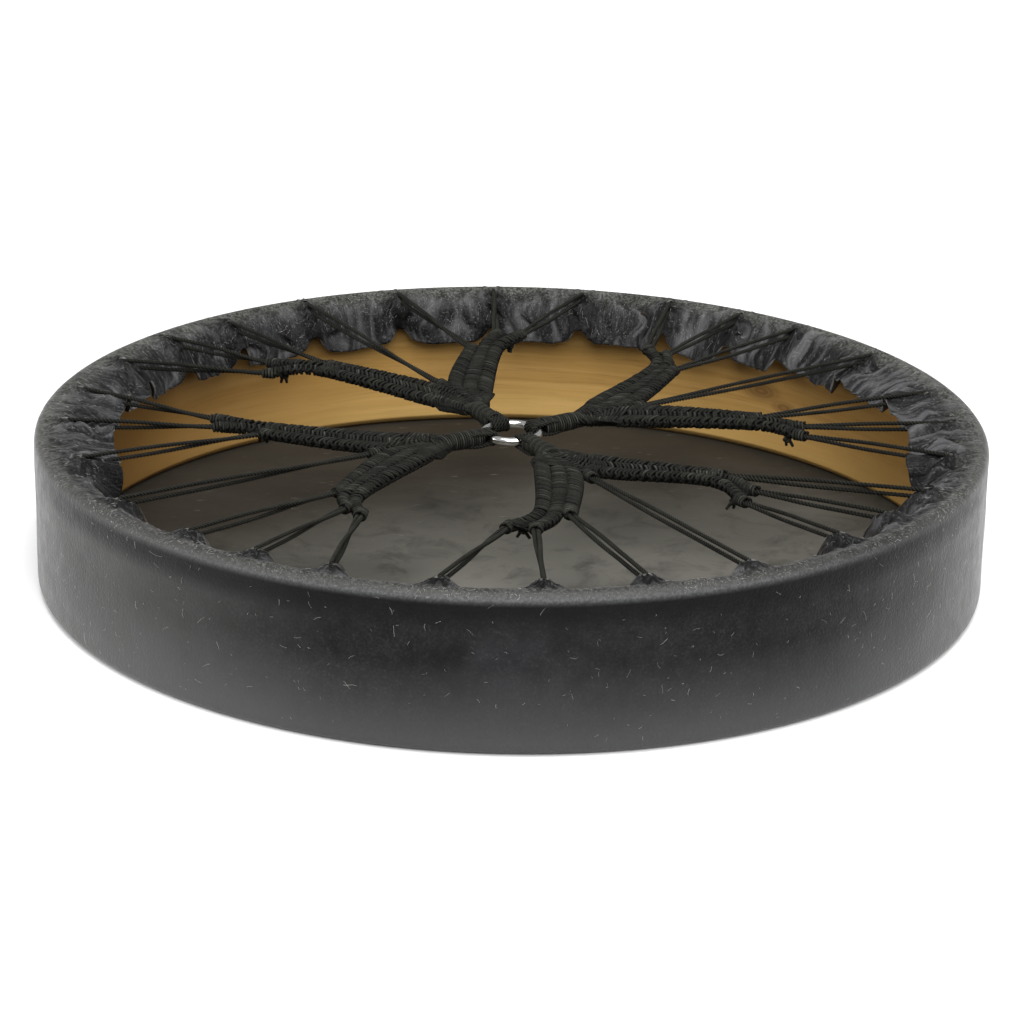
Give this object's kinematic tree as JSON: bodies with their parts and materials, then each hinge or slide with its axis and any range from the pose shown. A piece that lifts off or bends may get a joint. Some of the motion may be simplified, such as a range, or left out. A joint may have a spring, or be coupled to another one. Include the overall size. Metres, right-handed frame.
{
  "type": "frame drum",
  "caption": "Round single-headed frame drum: hide stretched over a wood hoop, corded at the back to a steel grip ring through woven arms.",
  "frame": {"origin": "centre of the head's outer face, which the drum lies on", "axes": "+Z from the head to the open back, +Y away from the viewer of the front side, +X to the viewer's right"},
  "size_m": [0.6, 0.6, 0.1005],
  "materials": {
    "wood": "satin, oiled, grain along the hoop",
    "hide_outer": "black grained hide, satin",
    "hide_head": "black outside, brown-grey flesh side inside",
    "cord": "black twisted cotton cord, matte",
    "ring_steel": "polished"
  },
  "bodies": {
    "root": {"hoop": "wood", "drumhead": "hide_head", "hide_side": "hide_outer", "hide_flap": "hide_outer", "grip_ring": "ring_steel", "binding_knots": "cord", "whipping_left": "cord", "whipping_front": "cord", "whipping_right": "cord", "whipping_back": "cord", "binding_left": "cord", "binding_front": "cord", "binding_right": "cord", "binding_back": "cord", "lace_left_1": "cord", "lace_left_2": "cord", "lace_left_3": "cord", "lace_left_4": "cord", "lace_left_5": "cord", "lace_left_6": "cord", "lace_left_7": "cord", "lace_front_1": "cord", "lace_front_2": "cord", "lace_front_3": "cord", "lace_front_4": "cord", "lace_front_5": "cord", "lace_front_6": "cord", "lace_front_7": "cord", "lace_right_1": "cord", "lace_right_2": "cord", "lace_right_3": "cord", "lace_right_4": "cord", "lace_right_5": "cord", "lace_right_6": "cord", "lace_right_7": "cord", "lace_back_1": "cord", "lace_back_2": "cord", "lace_back_3": "cord", "lace_back_4": "cord", "lace_back_5": "cord", "lace_back_6": "cord", "lace_back_7": "cord"}
  },
  "joints": []
}
